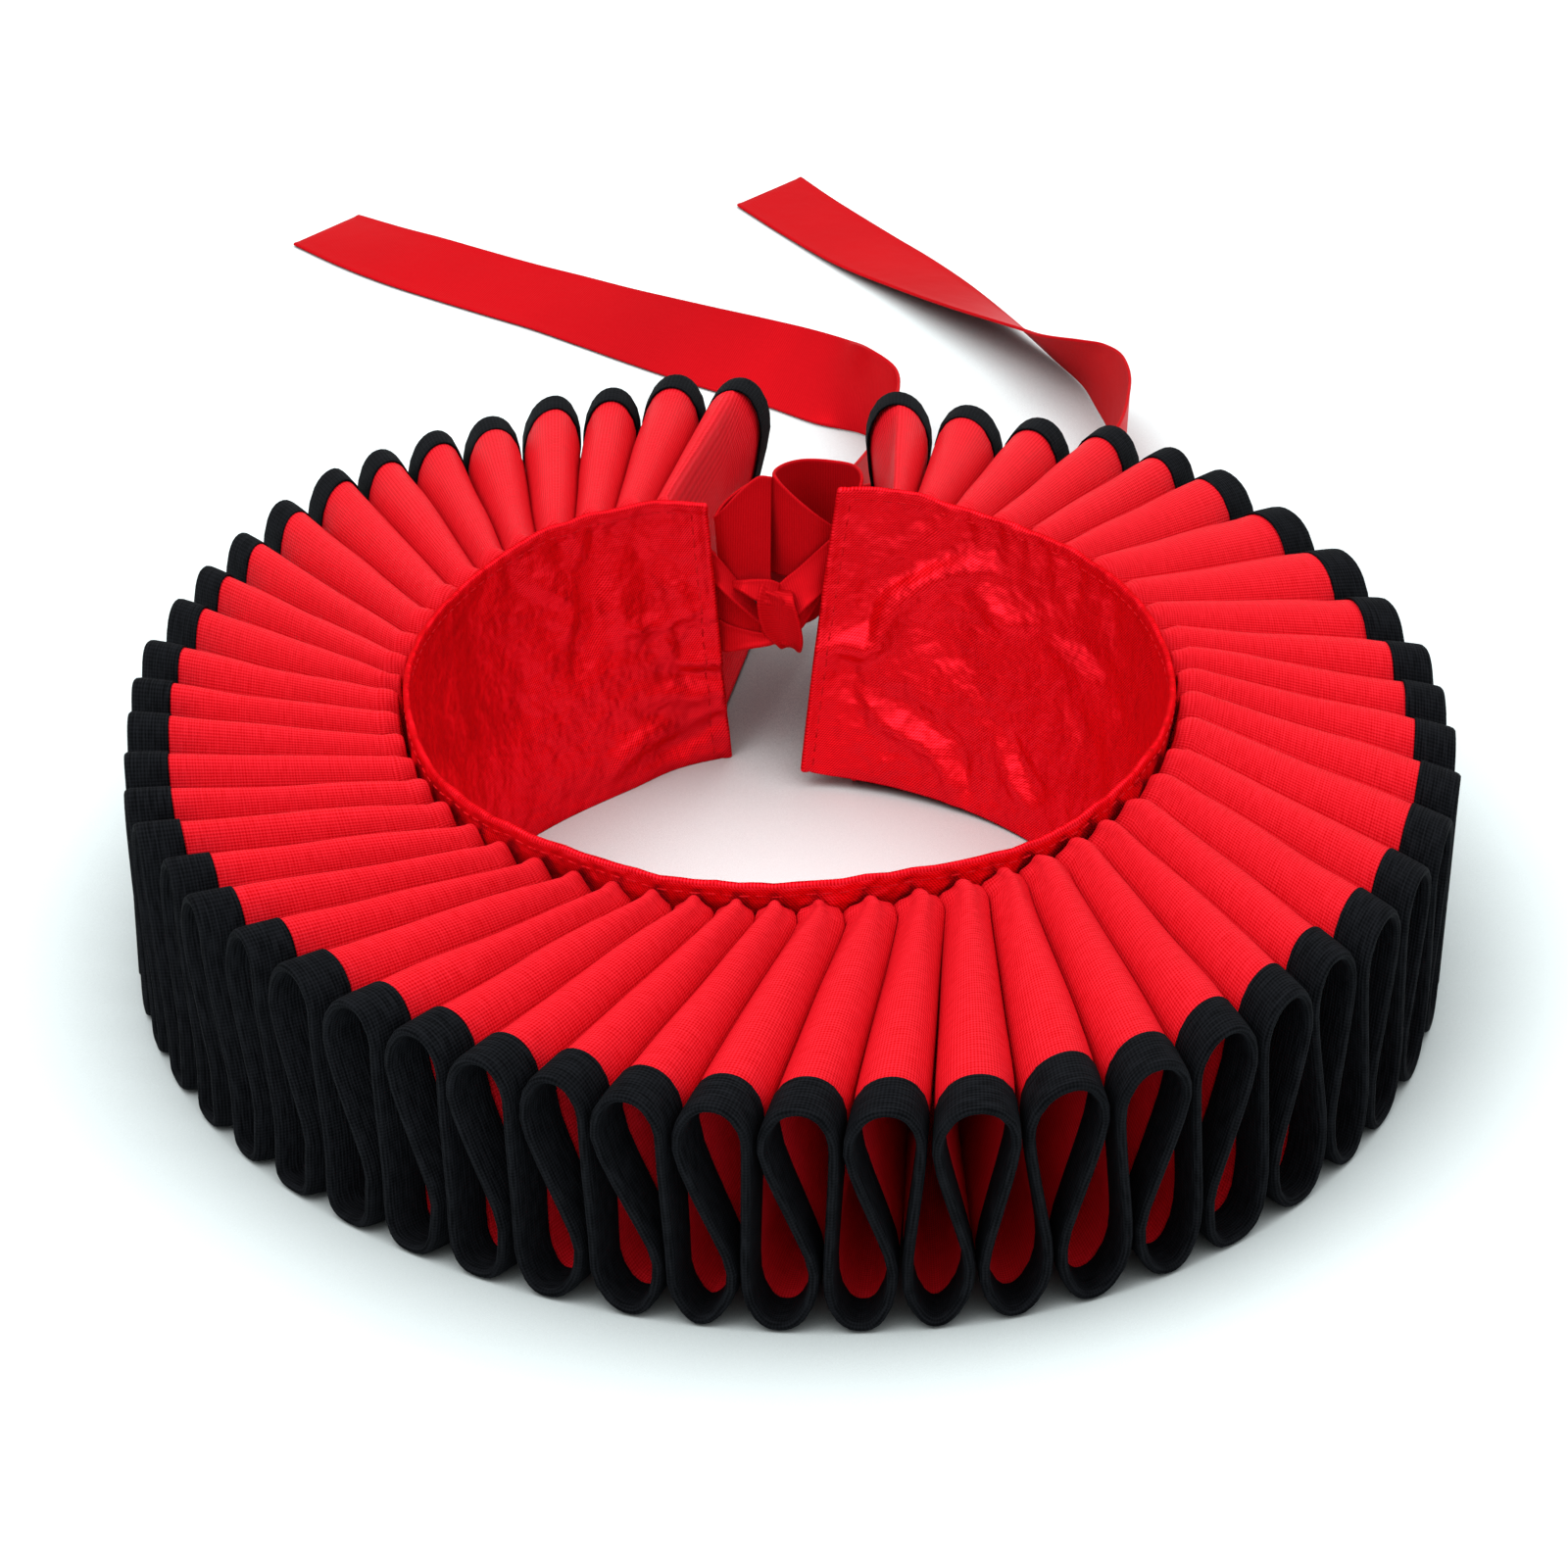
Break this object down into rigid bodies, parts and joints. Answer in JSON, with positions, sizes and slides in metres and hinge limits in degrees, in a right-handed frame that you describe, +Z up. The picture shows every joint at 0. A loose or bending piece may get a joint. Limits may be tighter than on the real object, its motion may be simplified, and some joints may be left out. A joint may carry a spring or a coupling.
{
  "type": "ruff collar",
  "caption": "Red cloth ruff collar in deep figure-of-eight flutes with a black bound edge, an upright satin neckband open at the back, and a ribbon tie in a small bow.",
  "frame": {"origin": "on the surface it stands on, under the middle of the bounding box of ruff and ribbon tails together", "axes": "+Z up, -Y towards the front of the collar, so that the back opening, the bow and the tails are towards +Y; +X to the right when it is seen from the front"},
  "size_m": [0.236, 0.4434, 0.0572],
  "materials": {
    "red_cloth": "matte plain weave",
    "black_binding": "matte plain weave",
    "red_satin": "satin",
    "red_ribbon": "satin"
  },
  "bodies": {
    "root": {"frill_1": "red_cloth", "frill_2": "red_cloth", "frill_3": "red_cloth", "frill_4": "red_cloth", "frill_5": "red_cloth", "frill_6": "red_cloth", "frill_7": "red_cloth", "frill_8": "red_cloth", "binding_1": "black_binding", "binding_2": "black_binding", "binding_3": "black_binding", "binding_4": "black_binding", "binding_5": "black_binding", "binding_6": "black_binding", "binding_7": "black_binding", "binding_8": "black_binding", "neckband": "red_satin", "tie_lead_left": "red_ribbon", "tie_lead_right": "red_ribbon", "bow_loop_left": "red_ribbon", "bow_loop_right": "red_ribbon", "bow_knot": "red_ribbon", "tie_tail_left": "red_ribbon", "tie_tail_right": "red_ribbon"}
  },
  "joints": []
}
